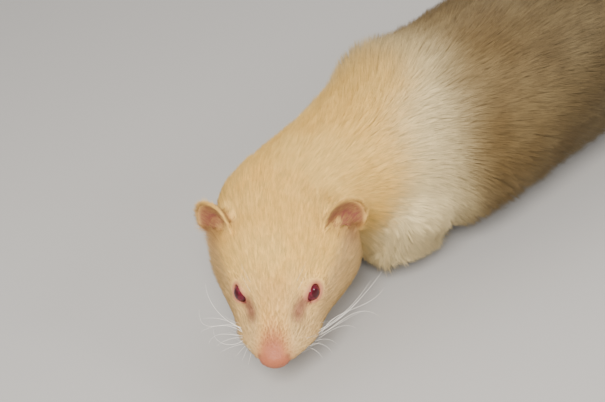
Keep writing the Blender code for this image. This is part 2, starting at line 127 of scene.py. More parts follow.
def mesh_of(name, points, corners, sizes):
    """A smooth mesh from points in millimetres, the corners of all faces in a row and each face's size."""
    mesh = bpy.data.meshes.new(name)
    mesh.vertices.add(len(points))
    mesh.vertices.foreach_set("co", (np.asarray(points) * MM).astype(np.float32).ravel())
    mesh.loops.add(len(corners))
    mesh.loops.foreach_set("vertex_index", np.asarray(corners, np.int32))
    starts = np.concatenate([[0], np.cumsum(sizes)[:-1]]).astype(np.int32)
    mesh.polygons.add(len(sizes))
    mesh.polygons.foreach_set("loop_start", starts)
    mesh.update(calc_edges=True)
    mesh.shade_smooth()
    return mesh


def points_of(mesh):
    flat = np.empty(len(mesh.vertices) * 3, np.float32)
    mesh.vertices.foreach_get("co", flat)
    return flat.reshape(-1, 3).astype(float) / MM


def normals_of(mesh):
    flat = np.empty(len(mesh.vertices) * 3, np.float32)
    mesh.vertex_normals.foreach_get("vector", flat)
    return flat.reshape(-1, 3).astype(float)


def edges_of(mesh):
    flat = np.empty(len(mesh.edges) * 2, np.int32)
    mesh.edges.foreach_get("vertices", flat)
    return flat.reshape(-1, 2)


def triangles_of(mesh):
    mesh.calc_loop_triangles()
    flat = np.empty(len(mesh.loop_triangles) * 3, np.int32)
    mesh.loop_triangles.foreach_get("vertices", flat)
    return flat.reshape(-1, 3)


def spread(values, edges, times, share=0.5):
    """Values at the points of a mesh, each drawn towards the mean of its neighbours a number of times."""
    count = len(values)
    table_of = values.reshape(count, -1).copy()
    ends = np.concatenate([edges[:, 0], edges[:, 1]])
    others = np.concatenate([edges[:, 1], edges[:, 0]])
    number = np.maximum(np.bincount(ends, minlength=count), 1)
    part = share if np.ndim(share) == 0 else share[:, None]
    for _ in range(times):
        means = np.empty_like(table_of)
        for column in range(table_of.shape[1]):
            sums = np.bincount(ends, weights=table_of[others, column], minlength=count)
            means[:, column] = sums / number
        table_of += (means - table_of) * part
    return table_of.reshape(values.shape)


# The head's directions

HEAD_AXIS = np.array(
    (
        math.sin(HEAD_TURN) * math.cos(HEAD_DROP),
        -math.cos(HEAD_TURN) * math.cos(HEAD_DROP),
        -math.sin(HEAD_DROP),
    )
)
MUZZLE_TIP = HEAD_BACK + HEAD_AXIS * HEAD_LENGTH
plain_side = unit(np.cross(-HEAD_AXIS, (0.0, 0.0, 1.0)))
plain_up = np.cross(plain_side, -HEAD_AXIS)
HEAD_SIDE = plain_side * math.cos(HEAD_TILT) - plain_up * math.sin(HEAD_TILT)
HEAD_UP = plain_up * math.cos(HEAD_TILT) + plain_side * math.sin(HEAD_TILT)
HEAD_FRAME = np.array((-HEAD_AXIS, HEAD_SIDE, HEAD_UP))


def in_head(place, side=1.0):
    return MUZZLE_TIP + (np.asarray(place, float) * (1.0, side, 1.0)) @ HEAD_FRAME


def head_way(way, side=1.0):
    return unit((np.asarray(way, float) * (1.0, side, 1.0)) @ HEAD_FRAME)


def head_places(points):
    """Distance behind the muzzle's tip, to the animal's left and up, for each point."""
    return (points - MUZZLE_TIP) @ HEAD_FRAME.T


def eye_axes(side):
    """Across the eye from front to back, up the eye, and out along its gaze."""
    gaze = head_way(EYE_GAZE, side)
    upward = unit(HEAD_UP - gaze * np.dot(HEAD_UP, gaze))
    across = np.cross(upward, gaze)
    across = across * (1.0 if np.dot(across, -HEAD_AXIS) > 0 else -1.0)
    slanted = across * math.cos(EYE_SLANT) + upward * math.sin(EYE_SLANT)
    return np.array((slanted, upward * math.cos(EYE_SLANT) - across * math.sin(EYE_SLANT), gaze))


def ear_axes(side):
    facing = head_way(EAR_FACING, side)
    reach = head_way(EAR_REACH, side)
    reach = unit(reach - facing * np.dot(reach, facing))
    return np.array((np.cross(reach, facing), reach, facing))


# The skin

FLESH = [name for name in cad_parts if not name.startswith(("claw_", "eye_"))]
SEAM = 0.25
VOXEL = 0.6
BODY_SHARE = 0.16  # of the faces behind the head that are kept


def fused_flesh():
    """One closed surface round all the nodes of flesh, fine on the head and coarser behind it."""
    work = bmesh.new()
    for name in FLESH:
        part = bmesh.new()
        part.from_mesh(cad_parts[name].data)
        bmesh.ops.remove_doubles(part, verts=part.verts, dist=1e-6)
        part.normal_update()
        moves = [vert.normal * (SEAM * MM) for vert in part.verts]
        for vert, move in zip(part.verts, moves):
            vert.co += move
        grown = bpy.data.meshes.new("grown")
        part.to_mesh(grown)
        part.free()
        work.from_mesh(grown)
        bpy.data.meshes.remove(grown)
    mesh = bpy.data.meshes.new("skin")
    work.to_mesh(mesh)
    work.free()
    skin = new_object("skin", mesh)
    remesh = skin.modifiers.new("fuse", "REMESH")
    remesh.mode = "VOXEL"
    remesh.voxel_size = VOXEL * MM
    bake_modifiers(skin)
    behind = head_places(points_of(skin.data))[:, 0]
    group = skin.vertex_groups.new(name="behind")
    weights = ease(behind, 56.0, 72.0)
    for level in (0.25, 0.5, 0.75, 1.0):
        chosen = np.nonzero((weights > level - 0.25) & (weights <= level))[0]
        group.add(chosen.tolist(), level, "REPLACE")
    fewer = skin.modifiers.new("fewer", "DECIMATE")
    fewer.ratio = BODY_SHARE
    fewer.vertex_group = "behind"
    bake_modifiers(skin)
    skin.vertex_groups.clear()
    return skin


def bake_modifiers(piece):
    graph = bpy.context.evaluated_depsgraph_get()
    mesh = bpy.data.meshes.new_from_object(piece.evaluated_get(graph))
    old = piece.data
    piece.modifiers.clear()
    piece.data = mesh
    bpy.data.meshes.remove(old)


def spine_line():
    """Points close together along the middle of the head and body, and the way backwards at each."""
    start = [MUZZLE_TIP - HEAD_AXIS * at for at in (0.0, 20.0, 40.0, 62.0)]
    knots = np.array([*start, *SPINE])
    along = np.concatenate([[0.0], np.cumsum(np.linalg.norm(np.diff(knots, axis=0), axis=1))])
    at = np.linspace(0.0, along[-1], 420)
    line = np.stack([np.interp(at, along, knots[:, i]) for i in range(3)], -1)
    for _ in range(60):
        line[1:-1] += 0.5 * (0.5 * (line[:-2] + line[2:]) - line[1:-1])
    return line, unit(np.gradient(line, axis=0)), at


SPINE_LINE, SPINE_WAY, SPINE_AT = spine_line()


def nearest_on_spine(points):
    found = np.empty(len(points), int)
    for start in range(0, len(points), 20000):
        part = points[start : start + 20000]
        gaps = ((part[:, None, :] - SPINE_LINE[None, :, :]) ** 2).sum(-1)
        found[start : start + 20000] = gaps.argmin(1)
    return found


def nearest_nodes(points):
    """The name of the node nearest to each point."""
    places = []
    names = []
    for name in FLESH:
        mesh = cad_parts[name].data
        spots = points_of(mesh)
        corners = triangles_of(mesh)
        spots = np.concatenate([spots, spots[corners].mean(1)])
        places.append(spots)
        names += [name] * len(spots)
    places = np.concatenate(places)
    tree = KDTree(len(places))
    for i, place in enumerate(places):
        tree.insert(place, i)
    tree.balance()
    names = np.array(names)
    return names[[tree.find(point)[1] for point in points]]


# The lie of the coat at each point of the skin


def reach_of_eye(points):
    """How far each point is from the nearer eye's middle, and the way away from it."""
    gaps = []
    ways = []
    for side in SIDES.values():
        away = points - in_head(EYE_PLACE, side)
        gaps.append(np.linalg.norm(away, axis=1))
        ways.append(away)
    left_nearer = gaps[0] < gaps[1]
    return np.minimum(*gaps), unit(np.where(left_nearer[:, None], *ways))


def off_segment(points, start, end):
    """How far each point is from a straight line between two places."""
    start, end = np.asarray(start, float), np.asarray(end, float)
    share = np.clip((points - start) @ (end - start) / np.sum((end - start) ** 2), 0.0, 1.0)
    return np.linalg.norm(points - start - share[:, None] * (end - start), axis=1)


def markings(points, shown, nodes, back, left, up, along):
    """Where the coat turns from cream to white, tan, pale or pink, as shares at each point, with painted shade in the
    tan towards the rear and on the withers, in the pale towards the muzzle, along the tear grooves and at the nostrils.

    The broad ones are read where the hair shows, which is behind its root.
    """
    _, y, z = shown.T
    wander = 2.0 * waves(shown, 26.0, 11) + 1.2 * waves(shown, 9.0, 12)
    tan_edge = table(z, (30, -148), (44, -151), (64, -150), (79, -146), (85, -142), (91, -135), (98, -131))
    white_edge = table(z, (30, -190), (48, -179), (57, -173), (70, -168), (84, -161), (88, -154), (93, -143))
    # The tan behind the white band and its deeper tone towards the rear: partly the coat's own colour, partly painted
    # cast shadow.
    tan = ease(y - tan_edge + wander, -6.0, 8.0)
    dusk = ease(y, -142.0, -70.0)
    white = ease(y - white_edge + wander, -8.0, 7.0)
    low = 1.0 - ease(z, 20.0, 36.0)
    chest = ease(along, 88.0, 104.0) * (1.0 - ease(y, -140.0, -110.0))
    white = np.maximum(white, low * chest)
    tan *= 1.0 - 0.25 * (1.0 - ease(z, 8.0, 24.0))
    # Painted shade: the top of the withers is darkened with the tan's colour.
    tan = np.maximum(tan, 0.5 * np.exp(-np.sum((points - WITHERS_TUFT) ** 2, axis=1) / 26.0**2))
    limb = (np.char.find(nodes, "leg") >= 0) | (np.char.find(nodes, "paw") >= 0)
    hind = limb & (y > 0.0)
    white[limb] = 1.0
    tan[limb & ~hind] *= 0.1
    tan[hind] *= 0.45 + 0.55 * ease(z, 7.0, 20.0)[hind]
    out = np.abs(left)
    # Greyer fur on the lower sides of the head and on the muzzle, darkened towards the muzzle as painted shade
    pale = (1.0 - ease(along, 44.0, 62.0)) * ease(out - 0.35 * back - up * 0.5, 1.0, 9.0)
    pale = np.maximum(pale, (1.0 - ease(back, 10.0, 34.0)) * (0.08 + 0.92 * ease(out, 2.5, 8.5)))
    nose = (1.0 - ease(back, 2.0, 19.0)) * (1.0 - ease(out + 0.25 * back, 3.5, 10.0)) * ease(up, -5.0, 1.0)
    bridge = 0.30 * ease(back, 4.0, 10.0) * (1.0 - ease(back, 20.0, 30.0)) * (1.0 - ease(out, 3.0, 8.0)) * ease(up, 0.0, 4.0)
    pink = np.where(nodes == "nose", 1.0, np.maximum(nose, bridge))
    gap, _ = reach_of_eye(points)
    rim = np.zeros(len(points))
    corner = np.zeros(len(points))
    groove = np.full(len(points), 99.0)
    inner = np.zeros(len(points))
    for side in SIDES.values():
        across, upward, out_of = ((points - in_head(EYE_PLACE, side)) @ eye_axes(side).T).T
        ring = np.hypot(across / EYE_OPENING[0], upward / EYE_OPENING[1])
        rim = np.maximum(rim, 0.75 * (1.0 - ease(ring, 1.05, 1.45)) * (out_of > 0.5) * (gap < 8.0))
        nick = np.hypot((across + 4.4) / 1.5, (upward + 0.4) / 0.9)
        corner = np.maximum(corner, (1.0 - ease(nick, 0.6, 1.4)) * (out_of > 0.0))
        places = np.stack([back, left * side, up], -1)
        groove = np.minimum(groove, off_segment(places, *TEAR_GROOVE))
        # Painted shade: a dark spot at each nostril, by the wing of the nose
        wing = np.linalg.norm(places - NOSE_WING, axis=1)
        corner = np.maximum(corner, 0.6 * (1.0 - ease(wing, 0.5, 1.6)))
        axes = ear_axes(side)
        flat = (points - in_head(EAR_PLACE, side)) @ axes.T
        cup = 1.0 - ease(np.hypot(flat[:, 0] / EAR_SIZE[0], flat[:, 1] / EAR_SIZE[1]), 0.72, 0.98)
        mine = np.char.startswith(nodes, "ear") & (left * side > 0)
        inner = np.maximum(inner, np.where(mine, cup * ease(flat[:, 2], -6.0, -2.0), 0.0))
        below = np.exp(-(((flat[:, 0] - 2.0) / 5.5) ** 2) - ((flat[:, 1] + 8.5) / 5.0) ** 2 - (flat[:, 2] / 6.0) ** 2)
        inner = np.maximum(inner, below)
    return {
        "tan": tan,
        "dusk": dusk,
        "white": white,
        "pale": pale,
        "pink": pink,
        "rim": rim,
        "corner": corner,
        # Painted shade along the tear groove below each eye, and the pink flush of the skin round each eye
        "groove": np.maximum(1.0 - ease(groove, 0.9, 4.4), 0.4 * (1.0 - ease(gap, 4.6, 8.0))),
        "inner": inner,
    }


MARKS = ("tan", "dusk", "white", "pale", "pink", "rim", "corner", "groove", "inner")


def waves(points, scale, seed):
    """A smooth wandering value between about -1 and 1 at each point, on the given scale."""
    draw = np.random.default_rng(seed)
    total = np.zeros(len(points))
    for _ in range(6):
        way = unit(draw.normal(size=3)) * (2.0 * math.pi / scale) * draw.uniform(0.6, 1.6)
        total += np.sin(points @ way + draw.uniform(0, 2 * math.pi))
    return total / 3.0


def stop_the_ear(points, normals, side):
    """The hole of one ear closed a little way in, where hair hides it."""
    axes = ear_axes(side)
    flat = (points - in_head(EAR_PLACE, side)) @ axes.T
    dish = 4.4 * ((flat[:, 0] / EAR_SIZE[0]) ** 2 + (flat[:, 1] / EAR_SIZE[1]) ** 2) - 2.64
    near = np.hypot(flat[:, 0], flat[:, 1] + 3.5) < 5.4
    deep = near & (flat[:, 2] < dish + 0.25) & (flat[:, 2] > -12.0) & (normals @ axes[2] > -0.6)
    flat[deep, 2] = dish[deep] + 0.25
    return np.where(deep[:, None], in_head(EAR_PLACE, side) + flat @ axes, points)


def lid_edge(points):
    """The bare points round the openings of the eyes."""
    bare = np.zeros(len(points), bool)
    for side in SIDES.values():
        across, upward, out_of = ((points - in_head(EYE_PLACE, side)) @ eye_axes(side).T).T
        ring = np.hypot((across + 0.4) / (EYE_OPENING[0] + 1.0), upward / (EYE_OPENING[1] + 0.4))
        bare |= (ring < 1.0) & (out_of > -1.0)
    return bare


def lid_corner(points, word, side):
    """How far the skin before and above an eye is let in, so that more of the globe shows from in front."""
    axes = eye_axes(side)
    flat = (points - in_head(EYE_PLACE, side)) @ axes.T
    share = np.exp(-(((flat[:, 0] + 3.6) / 3.2) ** 2) - ((flat[:, 1] - 0.6) / 3.0) ** 2) * (flat[:, 2] > -1.0)
    return (share * EYE_CORNER[word])[:, None] * axes[2]


def groom(skin):
    """What a coat needs to know at each point of the skin, which is drawn in by the coat's depth."""
    points = points_of(skin.data)
    normals = normals_of(skin.data)
    edges = edges_of(skin.data)
    nodes = nearest_nodes(points)
    spot = nearest_on_spine(points)
    back, left, up = head_places(points).T
    along = SPINE_AT[spot]
    gap, from_eye = reach_of_eye(points)
    ear = np.char.startswith(nodes, "ear")
    leg = np.char.find(nodes, "leg") >= 0
    paw = np.char.find(nodes, "paw") >= 0
    tail = np.char.startswith(nodes, "tail")
    height = points[:, 2]
    left_of_body = points[:, 0] - SPINE_LINE[spot][:, 0]

    depth = table(along, (0, 0.25), (8, 0.4), (25, 0.75), (45, 1.0), (68, 1.7), (95, 2.3), (125, 2.6), (390, 2.8))
    length = table(along, (0, 1.5), (8, 3.0), (25, 4.8), (45, 6.2), (68, 7.5), (95, 8.5), (125, 9.5), (400, 11.0))
    width = table(along, (0, 0.20), (25, 0.27), (45, 0.31), (68, 0.33), (125, 0.36), (200, 0.40), (400, 0.46))
    dense = table(
        along, (0, 10), (18, 12), (45, 11), (62, 10), (66, 7), (95, 5.8), (150, 4.6), (200, 2.9), (262, 2.4), (300, 1.8), (400, 1.4)
    )
    lift = table(along, (0, 0.8), (30, 1.0), (60, 1.2), (85, 1.5), (150, 1.4), (190, 1.15), (400, 1.0))
    lift += 0.5 * ease(along, 70, 90) * (1.0 - ease(along, 130, 160)) * ease(height, 70, 88)
    lift += 0.6 * ease(along, 84, 100) * (1.0 - ease(height, 24, 44))
    skirt = ease(along, 96, 120) * (1.0 - ease(height, 20, 44)) * (1.0 - ease(along, 350, 390))
    skirt *= np.where(leg, 0.25, 1.0)
    ruff = np.exp(-np.sum((points - WITHERS_TUFT) ** 2, axis=1) / 12.0**2)
    jaw = nodes == "jaw"
    depth[jaw], length[jaw] = 0.5, 3.2
    depth[ear], length[ear], width[ear], dense[ear] = 0.45, 3.4, 0.21, 11.0
    depth[leg], length[leg], width[leg], dense[leg] = 2.2, 8.0, 0.36, 5.0
    depth[paw], length[paw], width[paw], dense[paw] = 0.5, 3.8, 0.28, 7.0
    depth[tail], length[tail], dense[tail] = 5.0, 17.0, 1.4
    depth[nodes == "nose"] = 0.0
    tassel = np.exp(-np.sum((points - ARMPIT) ** 2, axis=1) / 12.0**2)
    lift += 0.9 * skirt + 3.4 * ruff + 0.7 * tassel
    length += 3.5 * skirt * ~paw + 5.0 * ruff + 6.0 * tassel

    way = SPINE_WAY[spot].copy()
    way += (0.0, 0.0, -0.34) * (ease(along, 80, 130) * (1.0 - ease(along, 330, 400)))[:, None]
    way += from_eye * (0.9 * np.exp(-((gap / 7.0) ** 2)))[:, None]
    way += (-0.2, -0.2, 1.2) * ruff[:, None]
    outer = np.sign(left_of_body)[:, None] * (1.0, 0.0, 0.0)
    way += (outer * 0.6 + (0.0, 0.0, -0.8)) * skirt[:, None]
    fall = (1.0 - ease(height, 12.0, 48.0))[:, None]
    way[leg] = (outer * 0.45 + (1.0 - fall) * (0.0, 0.50, -0.65) + fall * (0.0, 0.25, -0.90))[leg]
    way += (0.3, 0.1, -1.6) * tassel[:, None]
    way[paw] = (0.0, -1.0, -0.30)
    for side in SIDES.values():
        mine = ear & (left * side > 0)
        across, reach, facing = ear_axes(side)
        flat = (points - in_head(EAR_PLACE, side)) @ ear_axes(side).T
        inside = (normals @ facing > 0.1)[:, None]
        outward = flat[:, :1] * across + flat[:, 1:2] * reach
        way[mine] = np.where(inside, reach * 8.0 + across * side * 4.0, reach * 6.0 + outward)[mine]
        below = np.exp(-((flat[:, 0] / 9.0) ** 2) - ((flat[:, 1] + 9.0) / 4.5) ** 2 - ((flat[:, 2] - 1.0) / 5.0) ** 2)
        way += reach * (1.6 * below * ~ear)[:, None]
        length += 2.0 * below
        lift += 2.6 * below

    fields = np.column_stack([depth, length, width, dense, lift, way])
    behind = ease(back, 50.0, 75.0)[:, None]
    fields = spread(fields, edges, 60) * behind + spread(fields, edges, 4) * (1.0 - behind)
    depth, length, width, dense, lift = fields[:, :5].T.copy()
    way = square_on(fields[:, 5:], normals)
    depth *= ease(gap, 4.2, 9.0) * 0.85 + 0.15
    length *= ease(gap, 4.0, 11.0) * 0.70 + 0.30
    dense[nodes == "nose"] = 0.0
    dense[lid_edge(points)] = 0.0
    dense[paw & (height < 2.0) & (normals[:, 2] < -0.6)] = 0.0
    for side in SIDES.values():
        flat = (points - in_head(EAR_PLACE, side)) @ ear_axes(side).T
        ring = np.hypot(flat[:, 0] / EAR_SIZE[0], flat[:, 1] / EAR_SIZE[1])
        inside = ear & (left * side > 0) & (normals @ ear_axes(side)[2] > 0.1)
        cup = inside & (ring < 0.8)
        dense[cup], length[cup], depth[cup] = 2.4, 4.6, 0.9
        low = inside & (flat[:, 1] < -2.0)
        dense[low], length[low], depth[low] = 8.0, 5.5, 1.4
    dense[(normals[:, 2] < -0.5) & (along > 120)] *= 0.6
    far_cheek = in_head((40.0, 28.0, -1.0), -1.0)
    depth += 2.3 * np.exp(-np.sum((points - far_cheek) ** 2, axis=1) / 12.0**2)
    flank = ease(along, 150, 195) * (1.0 - ease(along, 260, 300)) * ease(left_of_body, 14, 28) * (1.0 - ease(height, 38, 62))
    slack = 3.6 * flank + 1.6 * leg * ease(height, 10, 20) * (left_of_body > 0.0) * (along < 200.0)
    slack += 5.0 * np.exp(-np.sum((points - NAPE_DIP) ** 2, axis=1) / 12.0**2)
    slack = spread(slack, edges, 30)
    lift *= depth / (depth + slack + 1e-3)
    depth += slack

    shown = points + way * (0.62 * length)[:, None]
    fur = {"along": along, "nodes": nodes, "length": length, "width": width, "dense": dense, "lift": lift}
    fur.update(markings(points, shown, nodes, back, left, up, along))
    for key in MARKS:
        fur[key] = spread(fur[key], edges, 14 if key in ("pink", "tan", "white") else 2)
    drawn = points - normals * np.where(ear, 0.15, depth)[:, None]
    for word, side in SIDES.items():
        flat = (points - in_head(EAR_PLACE, side)) @ ear_axes(side).T
        let_down = 3.2 * ease(-flat[:, 1], 1.5, 7.5) * ease(flat[:, 2], -4.0, 0.0) * (ear & (left * side > 0))
        drawn -= let_down[:, None] * ear_axes(side)[2]
        drawn = stop_the_ear(drawn, normals, side)
        drawn -= lid_corner(points, word, side)
    tail_share = spread(ease(along, 372, 405) * tail, edges, 12)[:, None]
    centre = SPINE_LINE[spot]
    drawn = drawn * (1.0 - tail_share) + (centre + (points - centre) * 0.5) * tail_share
    drawn = spread(drawn, edges, 6, ease(back, 48.0, 70.0) * 0.5)
    crease = spread(leg.astype(float), edges, 14)
    drawn = spread(drawn, edges, 40, 2.4 * crease * (1.0 - crease) * (back > 60.0))
    root_of_tail = spread(tail.astype(float), edges, 20)
    drawn = spread(drawn, edges, 80, 2.4 * root_of_tail * (1.0 - root_of_tail))
    nose = spread((nodes == "nose").astype(float), edges, 10)
    drawn = spread(drawn, edges, 14, 2.0 * nose * (1.0 - nose) * (back < 12.0))
    skin.data.vertices.foreach_set("co", (drawn * MM).astype(np.float32).ravel())
    skin.data.update()
    fur["depth"] = np.where(ear, depth, np.linalg.norm(points - drawn, axis=1))
    fur["points"] = drawn
    fur["normals"] = normals_of(skin.data)
    fur["way"] = way
    for key in MARKS:
        mark(skin.data, key, fur[key])
    return fur


def mark(mesh, name, values):
    layer = mesh.attributes.new(name, "FLOAT", "POINT")
    layer.data.foreach_set("value", np.asarray(values, np.float32))


# Tufts: flattened, tapered, closed on three sides and bent over along the lie of the coat

SINK = 0.5
TUFT_CORNERS = np.array(
    [(0, 2, 1)]
    + [(a, b, b + 3) for a, b in ((0, 1), (1, 2), (2, 0))]
    + [(a, b + 3, a + 3) for a, b in ((0, 1), (1, 2), (2, 0))]
    + [(3, 4, 6), (4, 5, 6), (5, 3, 6)]
)
MOST_TRIANGLES = 198000
LOCK = 9  # tufts that lean together
SPIKE_CORNERS = np.array([(0, 2, 1), (0, 1, 3), (1, 2, 3), (2, 0, 3)])
PATCH = 0.003
REACHES = {True: (0.0, 0.0, 0.0, 0.5, 0.5, 0.5, 1.0), False: (0.0, 0.0, 0.0, 1.0)}
# How far a tuft is lit as the surface under it is, how far locks draw together, how much their tones differ
EAR_COAT = (0.30, 0.3, 0.3)
HEAD_COAT = (0.45, 0.65, 0.75)
BODY_COAT = (0.80, 0.58, 0.50)


def roots_on(fur, triangles, chosen, most):
    """Evenly drawn places on the chosen triangles, more where the coat is denser."""
    corners = triangles[chosen]
    a, b, c = (fur["points"][corners[:, i]] for i in range(3))
    area = 0.5 * np.linalg.norm(np.cross(b - a, c - a), axis=1)
    total = np.cumsum(area * fur["dense"][corners].min(1))
    number = min(most, int(total[-1]))
    print("wanted", int(total[-1]), "made", number)
    at = (np.arange(number) + random.random(number)) * (total[-1] / number)
    face = np.clip(np.searchsorted(total, at), 0, len(total) - 1)
    first, second = random.random((2, number))
    over = first + second > 1.0
    first[over], second[over] = 1.0 - first[over], 1.0 - second[over]
    return corners[face], np.stack([1.0 - first - second, first, second], -1)


def leaders(root, normal):
    """For each tuft the one near it that its lock leans to."""
    first = random.choice(len(root), max(len(root) // LOCK, 1), replace=False)
    tree = KDTree(len(first))
    for i, place in enumerate(root[first]):
        tree.insert(place, i)
    tree.balance()
    chief = first[[tree.find(place)[1] for place in root]]
    alike = np.sum(normal * normal[chief], axis=1) > 0.6
    return np.where(alike, chief, np.arange(len(root)))


def tufts(name, fur, triangles, chosen, lit, gather, contrast, bent=False):
    """A piece of coat rooted in the chosen triangles of the skin: most tufts are straight spikes."""
    pattern = TUFT_CORNERS if bent else SPIKE_CORNERS
    count = int(pattern.max()) + 1
    corners, share = roots_on(fur, triangles, chosen, MOST_TRIANGLES // len(pattern))

    def at_root(key):
        return np.einsum("nk,nk...->n...", share, fur[key][corners])

    root = at_root("points")
    normal = unit(at_root("normals"))
    way = square_on(at_root("way"), normal)
    number = len(root)
    across = np.cross(normal, way)
    turn = 0.07 * waves(root, 16.0, 3) + 0.05 * waves(root, 5.0, 5) + random.normal(0, 0.10, number)
    way, across = (
        way * np.cos(turn)[:, None] + across * np.sin(turn)[:, None],
        across * np.cos(turn)[:, None] - way * np.sin(turn)[:, None],
    )
    length = at_root("length") * random.uniform(0.70, 1.12, number)
    width = at_root("width") * random.uniform(0.75, 1.15, number)
    height = at_root("depth") * random.uniform(0.75, 1.15, number) * at_root("lift") + 0.03 * length
    height *= 1.0 + 0.08 * waves(root, 18.0, 8)
    height = np.minimum(height, 0.85 * length)
    bow = random.normal(0, 0.05, number) * length
    reach = np.sqrt(length**2 - height**2)
    middle = root + way * (reach * 0.46)[:, None] + normal * (height * 0.70)[:, None] + across * bow[:, None]
    tip = root + way * reach[:, None] + normal * height[:, None]
    chief = leaders(root, normal)
    tip += (tip[chief] - tip) * (gather * random.uniform(0.5, 1.0, number))[:, None]
    base = root - normal * SINK - way * 0.2
    points = np.empty((number, count, 3))
    rings = ((base, 0.8), (middle, 1.0)) if bent else ((base, 1.0),)
    for ring, (centre, size) in enumerate(rings):
        half = across * (width * 0.5 * size)[:, None]
        points[:, ring * 3] = centre - half
        points[:, ring * 3 + 1] = centre + half
        points[:, ring * 3 + 2] = centre + normal * (width * 0.34 * size)[:, None]
    points[:, -1] = tip
    points[:, :, 2] = np.maximum(points[:, :, 2], 0.25)
    faces = (np.arange(number)[:, None, None] * count + pattern[None]).reshape(-1)
    mesh = mesh_of(name, points.reshape(-1, 3), faces, np.full(number * len(pattern), 3))
    # How far along its tuft each point lies; the coat is darkened towards the roots with it as painted shade
    mark(mesh, "reach", np.tile(REACHES[bent], number))
    tone = random.random(number) - 0.5
    mark(mesh, "strand", np.repeat(0.5 + contrast * (tone + tone[chief]), count))
    for key in MARKS:
        mark(mesh, key, np.repeat(at_root(key), count))
    lay_flat(mesh, faces, root, REACHES[bent])
    normals = normals_of(mesh).reshape(number, count, 3)
    normals = unit(normals * (1.0 - lit) + normal[:, None, :] * lit)
    mesh.normals_split_custom_set_from_vertices(normals.reshape(-1, 3).astype(np.float32))
    return new_object(name, mesh)


def unwrapped(points):
    """Each point's place on the skin rolled out: round the body or the limb, and along it."""
    spot = nearest_on_spine(points)
    side = unit(np.cross(SPINE_WAY[spot], (0.0, 0.0, 1.0)))
    upward = np.cross(side, SPINE_WAY[spot])
    away = points - SPINE_LINE[spot]
    turn = np.arctan2(np.sum(away * upward, 1), np.sum(away * side, 1))
    return turn / (2.0 * math.pi) + 0.5, SPINE_AT[spot]


def lay_flat(mesh, faces, root, reaches):
    """The map for the finished colours: each tuft is a small patch at its root's place."""
    round_it, along = unwrapped(root)
    low, high = along.min(), along.max()
    u = 0.01 + round_it * 0.97
    v = 0.01 + (along - low) / (high - low) * 0.97
    corner_u = np.array([(0.0, 1.0, 0.5)[i % 3] for i in range(len(reaches))]) * PATCH
    corner_v = np.array(reaches) * PATCH
    spots = np.stack([u[:, None] + corner_u, v[:, None] + corner_v], -1).reshape(-1, 2)
    layer = mesh.uv_layers.new(name="OFBake")
    layer.uv.foreach_set("vector", spots[faces].astype(np.float32).ravel())


# Materials


class Value:
    """A socket's value. Arithmetic on it adds the nodes that work it out."""

    def __init__(self, paint, socket):
        self.paint = paint
        self.socket = socket

    def maths(self, operation, *values):
        return self.paint.node("ShaderNodeMath", {"operation": operation}, dict(enumerate(values)))

    def __add__(self, other):
        return self.maths("ADD", self, other)

    def __sub__(self, other):
        return self.maths("SUBTRACT", self, other)

    def __rsub__(self, other):
        return self.maths("SUBTRACT", other, self)

    def __mul__(self, other):
        return self.maths("MULTIPLY", self, other)

    __radd__ = __add__
    __rmul__ = __mul__

    def eased(self, low, high):
        """0 at low, 1 at high and a smooth step between."""
        limits = {"Value": self, "From Min": low, "From Max": high}
        return self.paint.node("ShaderNodeMapRange", {"interpolation_type": "SMOOTHSTEP"}, limits)


class Paint:
    """A material under construction."""

    def __init__(self, name):
        self.material = bpy.data.materials.new(name)
        self.material.use_nodes = True
        self.nodes = self.material.node_tree.nodes
        self.links = self.material.node_tree.links
        self.shader = self.nodes["Principled BSDF"]

    def node(self, kind, settings=None, values=None, output=0):
        """A node of a kind, its settings made first, then the values or links of its sockets."""
        made = self.nodes.new(kind)
        for key, setting in (settings or {}).items():
            setattr(made, key, setting)
        for key, value in (values or {}).items():
            self.put(made.inputs[key], value)
        return Value(self, made.outputs[output])

    def put(self, socket, value):
        if isinstance(value, Value):
            self.links.new(value.socket, socket)
        elif socket.type == "RGBA" and len(value) == 3:
            socket.default_value = (*value, 1.0)
        else:
            socket.default_value = value

    def shade(self, **values):
        """Set or link the sockets of the shader, named with _ for a space."""
        for key, value in values.items():
            self.put(self.shader.inputs[key.replace("_", " ")], value)
        return self.material

    def place(self):
        return self.node("ShaderNodeTexCoord", output="Object")

    def own(self, name):
        """A value that the mesh carries at its points."""
        return self.node("ShaderNodeAttribute", {"attribute_name": name}, output="Fac")

    def mix(self, share, first, second, way="MIX"):
        """A colour between two others, or the first changed by the second in another way."""
        settings = {"data_type": "RGBA", "blend_type": way}
        return self.node("ShaderNodeMix", settings, {"Factor": share, 6: first, 7: second}, output=2)

    def grey(self, value):
        return self.node("ShaderNodeCombineColor", {}, {0: value, 1: value, 2: value})

    def noise(self, place, size, detail=2.0, roughness=0.5):
        """Cloudy values about 0.5, whose patches are about the given size in millimetres."""
        values = {"Vector": place, "Scale": 1.0 / (size * MM), "Detail": detail, "Roughness": roughness}
        return self.node("ShaderNodeTexNoise", {}, values)

    def cells(self, place, size):
        values = {"Vector": place, "Scale": 1.0 / (size * MM)}
        return self.node("ShaderNodeTexVoronoi", {"feature": "F1"}, values, output="Distance")

    def bump(self, height, strength, distance):
        values = {"Height": height, "Strength": strength, "Distance": distance * MM}
        return self.node("ShaderNodeBump", {}, values, output="Normal")


CREAM = (0.94, 0.60, 0.170)
YELLOW = (0.91, 0.55, 0.135)
WHITE = (0.81, 0.64, 0.34)
# Tan of the rear coat, darkened as painted cast shadow
TAN_AND_SHADOW = (0.200, 0.128, 0.049)
# Deeper tone towards the rear: partly the coat's darker saddle, partly painted cast shadow
REAR_TONE_AND_SHADOW = (0.126, 0.086, 0.038)
# Greyer fur of the muzzle and the lower head, darkened as painted shade
PALE_AND_SHADE = (0.60, 0.395, 0.185)
